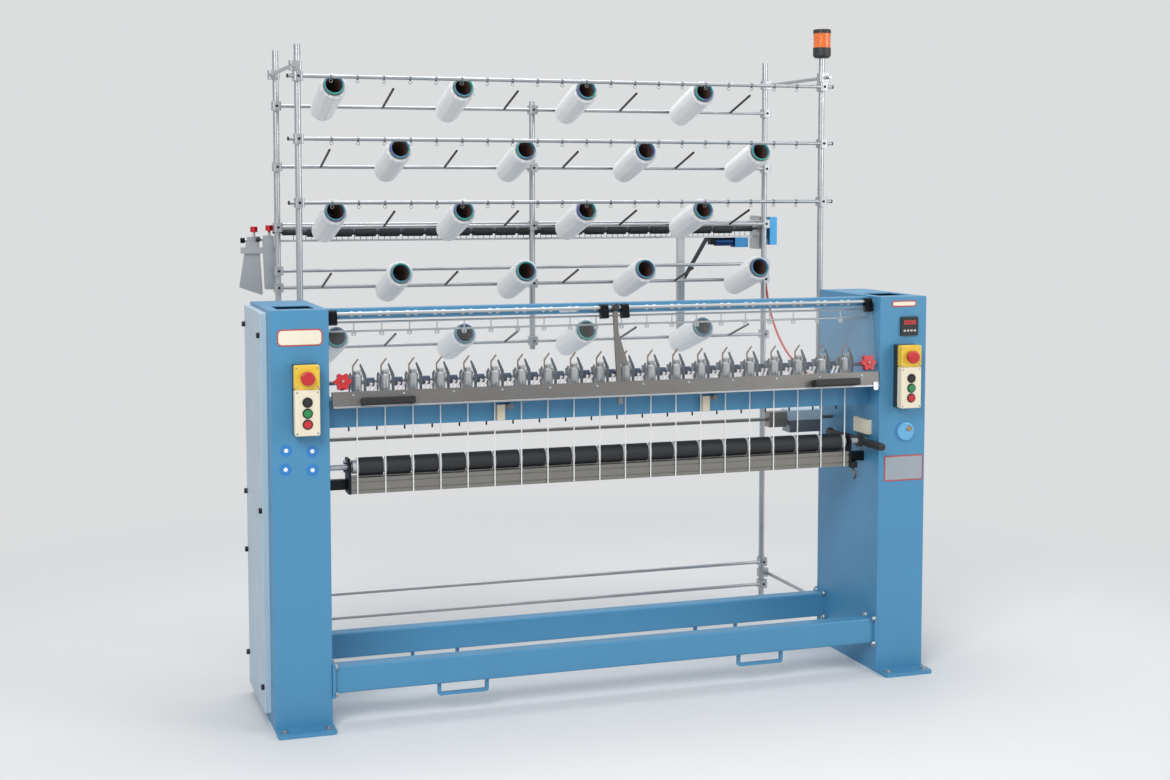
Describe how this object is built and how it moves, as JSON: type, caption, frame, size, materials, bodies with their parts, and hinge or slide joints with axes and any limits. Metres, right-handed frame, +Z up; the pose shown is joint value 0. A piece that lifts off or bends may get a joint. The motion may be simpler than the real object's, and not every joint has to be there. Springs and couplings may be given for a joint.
{
  "type": "cord knitting machine",
  "caption": "Free-standing cord knitting machine: knitting heads in line between two cabinets under a clear guard, take-down roller, yarn creel behind.",
  "frame": {"origin": "centre of the machine's footprint on the floor", "axes": "+Z up, -Y towards the operator's side with the guard, +X to the operator's right"},
  "size_m": [2.131, 1.081, 2.081],
  "materials": {
    "left_cabinet": "fine textured powder coat",
    "right_cabinet": "fine textured powder coat",
    "side_covers": "powder coat",
    "thumb_screws": "turned",
    "lower_beams": "fine textured powder coat",
    "upper_beam": "fine textured powder coat",
    "ceramic_eyelets": "glazed",
    "knitting_beam": "fine textured powder coat",
    "knitting_heads": "turned",
    "yarn_fingers": "satin",
    "cross_rods": "satin",
    "take_down_frame": "anodised",
    "knitted_cords": "knitted",
    "control_boxes": "moulded",
    "creel_frame": "satin",
    "cone_spindles": "drawn",
    "yarn_packages": "wound",
    "cone_tubes": "wound paper",
    "beacon_body": "moulded",
    "beacon_lens": "moulded",
    "feed_frame": "anodised",
    "feed_cable": "extruded",
    "gear_motors": "enamel",
    "guard_pane": "clear",
    "guard_frame": "anodised",
    "guard_handles": "moulded",
    "left_guard_knob": "moulded",
    "right_guard_knob": "moulded",
    "left_stop_button": "moulded",
    "left_black_button": "moulded",
    "left_green_button": "moulded",
    "left_red_button": "moulded",
    "right_stop_button": "moulded",
    "right_black_button": "moulded",
    "right_green_button": "moulded",
    "right_red_button": "moulded",
    "line_shaft": "blued",
    "head_rotor_01": "turned",
    "head_rotor_02": "turned",
    "head_rotor_03": "turned",
    "head_rotor_04": "turned",
    "head_rotor_05": "turned",
    "head_rotor_06": "turned",
    "head_rotor_07": "turned",
    "head_rotor_08": "turned",
    "head_rotor_09": "turned",
    "head_rotor_10": "turned",
    "head_rotor_11": "turned",
    "head_rotor_12": "turned",
    "head_rotor_13": "turned",
    "head_rotor_14": "turned",
    "head_rotor_15": "turned",
    "head_rotor_16": "turned",
    "head_rotor_17": "turned",
    "head_rotor_18": "turned",
    "head_rotor_19": "turned",
    "head_rotor_20": "turned",
    "take_down_roller": "ground",
    "feed_roller": "ground",
    "roller_lever": "moulded"
  },
  "bodies": {
    "machine": {"left_cabinet": "left_cabinet", "right_cabinet": "right_cabinet", "side_covers": "side_covers", "thumb_screws": "thumb_screws", "lower_beams": "lower_beams", "upper_beam": "upper_beam", "ceramic_eyelets": "ceramic_eyelets", "knitting_beam": "knitting_beam", "knitting_heads": "knitting_heads", "yarn_fingers": "yarn_fingers", "cross_rods": "cross_rods", "take_down_frame": "take_down_frame", "knitted_cords": "knitted_cords", "control_boxes": "control_boxes", "creel_frame": "creel_frame", "cone_spindles": "cone_spindles", "yarn_packages": "yarn_packages", "cone_tubes": "cone_tubes", "beacon_body": "beacon_body", "beacon_lens": "beacon_lens", "feed_frame": "feed_frame", "feed_cable": "feed_cable", "gear_motors": "gear_motors"},
    "guard": {"guard_pane": "guard_pane", "guard_frame": "guard_frame", "guard_handles": "guard_handles"},
    "left_guard_knob": {"left_guard_knob": "left_guard_knob"},
    "right_guard_knob": {"right_guard_knob": "right_guard_knob"},
    "left_stop_button": {"left_stop_button": "left_stop_button"},
    "left_black_button": {"left_black_button": "left_black_button"},
    "left_green_button": {"left_green_button": "left_green_button"},
    "left_red_button": {"left_red_button": "left_red_button"},
    "right_stop_button": {"right_stop_button": "right_stop_button"},
    "right_black_button": {"right_black_button": "right_black_button"},
    "right_green_button": {"right_green_button": "right_green_button"},
    "right_red_button": {"right_red_button": "right_red_button"},
    "line_shaft": {"line_shaft": "line_shaft"},
    "head_rotor_01": {"head_rotor_01": "head_rotor_01"},
    "head_rotor_02": {"head_rotor_02": "head_rotor_02"},
    "head_rotor_03": {"head_rotor_03": "head_rotor_03"},
    "head_rotor_04": {"head_rotor_04": "head_rotor_04"},
    "head_rotor_05": {"head_rotor_05": "head_rotor_05"},
    "head_rotor_06": {"head_rotor_06": "head_rotor_06"},
    "head_rotor_07": {"head_rotor_07": "head_rotor_07"},
    "head_rotor_08": {"head_rotor_08": "head_rotor_08"},
    "head_rotor_09": {"head_rotor_09": "head_rotor_09"},
    "head_rotor_10": {"head_rotor_10": "head_rotor_10"},
    "head_rotor_11": {"head_rotor_11": "head_rotor_11"},
    "head_rotor_12": {"head_rotor_12": "head_rotor_12"},
    "head_rotor_13": {"head_rotor_13": "head_rotor_13"},
    "head_rotor_14": {"head_rotor_14": "head_rotor_14"},
    "head_rotor_15": {"head_rotor_15": "head_rotor_15"},
    "head_rotor_16": {"head_rotor_16": "head_rotor_16"},
    "head_rotor_17": {"head_rotor_17": "head_rotor_17"},
    "head_rotor_18": {"head_rotor_18": "head_rotor_18"},
    "head_rotor_19": {"head_rotor_19": "head_rotor_19"},
    "head_rotor_20": {"head_rotor_20": "head_rotor_20"},
    "take_down_roller": {"take_down_roller": "take_down_roller"},
    "feed_roller": {"feed_roller": "feed_roller"},
    "roller_lever": {"roller_lever": "roller_lever"}
  },
  "joints": [
    {"name": "guard_hinge", "type": "hinge", "parent": "machine", "child": "guard", "pos_m": [0, -0.4175, 1.188], "axis": [-1, 0, 0], "range_deg": [0, 95]},
    {"name": "left_knob_turn", "type": "hinge", "parent": "guard", "child": "left_guard_knob", "pos_m": [-0.835, -0.45136, 0.99596], "axis": [0, -0.9848, 0.1736], "range_deg": [0, 90]},
    {"name": "right_knob_turn", "type": "hinge", "parent": "guard", "child": "right_guard_knob", "pos_m": [0.835, -0.45136, 0.99596], "axis": [0, -0.9848, 0.1736], "range_deg": [-90, 0]},
    {"name": "left_stop_press", "type": "slide", "parent": "machine", "child": "left_stop_button", "axis": [0, 1, 0], "range_m": [0, 0.005], "stiffness_N_per_m": 800},
    {"name": "left_black_press", "type": "slide", "parent": "machine", "child": "left_black_button", "axis": [0, 1, 0], "range_m": [0, 0.004], "stiffness_N_per_m": 500},
    {"name": "left_green_press", "type": "slide", "parent": "machine", "child": "left_green_button", "axis": [0, 1, 0], "range_m": [0, 0.004], "stiffness_N_per_m": 500},
    {"name": "left_red_press", "type": "slide", "parent": "machine", "child": "left_red_button", "axis": [0, 1, 0], "range_m": [0, 0.004], "stiffness_N_per_m": 500},
    {"name": "right_stop_press", "type": "slide", "parent": "machine", "child": "right_stop_button", "axis": [0, 1, 0], "range_m": [0, 0.005], "stiffness_N_per_m": 800},
    {"name": "right_black_press", "type": "slide", "parent": "machine", "child": "right_black_button", "axis": [0, 1, 0], "range_m": [0, 0.004], "stiffness_N_per_m": 500},
    {"name": "right_green_press", "type": "slide", "parent": "machine", "child": "right_green_button", "axis": [0, 1, 0], "range_m": [0, 0.004], "stiffness_N_per_m": 500},
    {"name": "right_red_press", "type": "slide", "parent": "machine", "child": "right_red_button", "axis": [0, 1, 0], "range_m": [0, 0.004], "stiffness_N_per_m": 500},
    {"name": "line_shaft_spin", "type": "hinge", "parent": "machine", "child": "line_shaft", "pos_m": [0, -0.3805, 0.985], "axis": [1, 0, 0], "continuous": true},
    {"name": "head_rotor_01_spin", "type": "hinge", "parent": "machine", "child": "head_rotor_01", "pos_m": [-0.78375, -0.4075, 1.01], "axis": [0, 0, 1], "continuous": true},
    {"name": "head_rotor_02_spin", "type": "hinge", "parent": "machine", "child": "head_rotor_02", "pos_m": [-0.70125, -0.4075, 1.01], "axis": [0, 0, 1], "continuous": true},
    {"name": "head_rotor_03_spin", "type": "hinge", "parent": "machine", "child": "head_rotor_03", "pos_m": [-0.61875, -0.4075, 1.01], "axis": [0, 0, 1], "continuous": true},
    {"name": "head_rotor_04_spin", "type": "hinge", "parent": "machine", "child": "head_rotor_04", "pos_m": [-0.53625, -0.4075, 1.01], "axis": [0, 0, 1], "continuous": true},
    {"name": "head_rotor_05_spin", "type": "hinge", "parent": "machine", "child": "head_rotor_05", "pos_m": [-0.45375, -0.4075, 1.01], "axis": [0, 0, 1], "continuous": true},
    {"name": "head_rotor_06_spin", "type": "hinge", "parent": "machine", "child": "head_rotor_06", "pos_m": [-0.37125, -0.4075, 1.01], "axis": [0, 0, 1], "continuous": true},
    {"name": "head_rotor_07_spin", "type": "hinge", "parent": "machine", "child": "head_rotor_07", "pos_m": [-0.28875, -0.4075, 1.01], "axis": [0, 0, 1], "continuous": true},
    {"name": "head_rotor_08_spin", "type": "hinge", "parent": "machine", "child": "head_rotor_08", "pos_m": [-0.20625, -0.4075, 1.01], "axis": [0, 0, 1], "continuous": true},
    {"name": "head_rotor_09_spin", "type": "hinge", "parent": "machine", "child": "head_rotor_09", "pos_m": [-0.12375, -0.4075, 1.01], "axis": [0, 0, 1], "continuous": true},
    {"name": "head_rotor_10_spin", "type": "hinge", "parent": "machine", "child": "head_rotor_10", "pos_m": [-0.04125, -0.4075, 1.01], "axis": [0, 0, 1], "continuous": true},
    {"name": "head_rotor_11_spin", "type": "hinge", "parent": "machine", "child": "head_rotor_11", "pos_m": [0.04125, -0.4075, 1.01], "axis": [0, 0, 1], "continuous": true},
    {"name": "head_rotor_12_spin", "type": "hinge", "parent": "machine", "child": "head_rotor_12", "pos_m": [0.12375, -0.4075, 1.01], "axis": [0, 0, 1], "continuous": true},
    {"name": "head_rotor_13_spin", "type": "hinge", "parent": "machine", "child": "head_rotor_13", "pos_m": [0.20625, -0.4075, 1.01], "axis": [0, 0, 1], "continuous": true},
    {"name": "head_rotor_14_spin", "type": "hinge", "parent": "machine", "child": "head_rotor_14", "pos_m": [0.28875, -0.4075, 1.01], "axis": [0, 0, 1], "continuous": true},
    {"name": "head_rotor_15_spin", "type": "hinge", "parent": "machine", "child": "head_rotor_15", "pos_m": [0.37125, -0.4075, 1.01], "axis": [0, 0, 1], "continuous": true},
    {"name": "head_rotor_16_spin", "type": "hinge", "parent": "machine", "child": "head_rotor_16", "pos_m": [0.45375, -0.4075, 1.01], "axis": [0, 0, 1], "continuous": true},
    {"name": "head_rotor_17_spin", "type": "hinge", "parent": "machine", "child": "head_rotor_17", "pos_m": [0.53625, -0.4075, 1.01], "axis": [0, 0, 1], "continuous": true},
    {"name": "head_rotor_18_spin", "type": "hinge", "parent": "machine", "child": "head_rotor_18", "pos_m": [0.61875, -0.4075, 1.01], "axis": [0, 0, 1], "continuous": true},
    {"name": "head_rotor_19_spin", "type": "hinge", "parent": "machine", "child": "head_rotor_19", "pos_m": [0.70125, -0.4075, 1.01], "axis": [0, 0, 1], "continuous": true},
    {"name": "head_rotor_20_spin", "type": "hinge", "parent": "machine", "child": "head_rotor_20", "pos_m": [0.78375, -0.4075, 1.01], "axis": [0, 0, 1], "continuous": true},
    {"name": "take_down_spin", "type": "hinge", "parent": "machine", "child": "take_down_roller", "pos_m": [0, -0.3775, 0.738], "axis": [1, 0, 0], "continuous": true},
    {"name": "feed_spin", "type": "hinge", "parent": "machine", "child": "feed_roller", "pos_m": [0, 0.4935, 1.4], "axis": [1, 0, 0], "continuous": true},
    {"name": "roller_lever_tilt", "type": "hinge", "parent": "machine", "child": "roller_lever", "pos_m": [0.851, -0.3775, 0.738], "axis": [1, 0, 0], "range_deg": [-10, 10]}
  ],
  "couplings": [
    {"joint": "head_rotor_01_spin", "follows": "line_shaft_spin", "ratio": 1},
    {"joint": "head_rotor_02_spin", "follows": "line_shaft_spin", "ratio": 1},
    {"joint": "head_rotor_03_spin", "follows": "line_shaft_spin", "ratio": 1},
    {"joint": "head_rotor_04_spin", "follows": "line_shaft_spin", "ratio": 1},
    {"joint": "head_rotor_05_spin", "follows": "line_shaft_spin", "ratio": 1},
    {"joint": "head_rotor_06_spin", "follows": "line_shaft_spin", "ratio": 1},
    {"joint": "head_rotor_07_spin", "follows": "line_shaft_spin", "ratio": 1},
    {"joint": "head_rotor_08_spin", "follows": "line_shaft_spin", "ratio": 1},
    {"joint": "head_rotor_09_spin", "follows": "line_shaft_spin", "ratio": 1},
    {"joint": "head_rotor_10_spin", "follows": "line_shaft_spin", "ratio": 1},
    {"joint": "head_rotor_11_spin", "follows": "line_shaft_spin", "ratio": 1},
    {"joint": "head_rotor_12_spin", "follows": "line_shaft_spin", "ratio": 1},
    {"joint": "head_rotor_13_spin", "follows": "line_shaft_spin", "ratio": 1},
    {"joint": "head_rotor_14_spin", "follows": "line_shaft_spin", "ratio": 1},
    {"joint": "head_rotor_15_spin", "follows": "line_shaft_spin", "ratio": 1},
    {"joint": "head_rotor_16_spin", "follows": "line_shaft_spin", "ratio": 1},
    {"joint": "head_rotor_17_spin", "follows": "line_shaft_spin", "ratio": 1},
    {"joint": "head_rotor_18_spin", "follows": "line_shaft_spin", "ratio": 1},
    {"joint": "head_rotor_19_spin", "follows": "line_shaft_spin", "ratio": 1},
    {"joint": "head_rotor_20_spin", "follows": "line_shaft_spin", "ratio": 1}
  ]
}
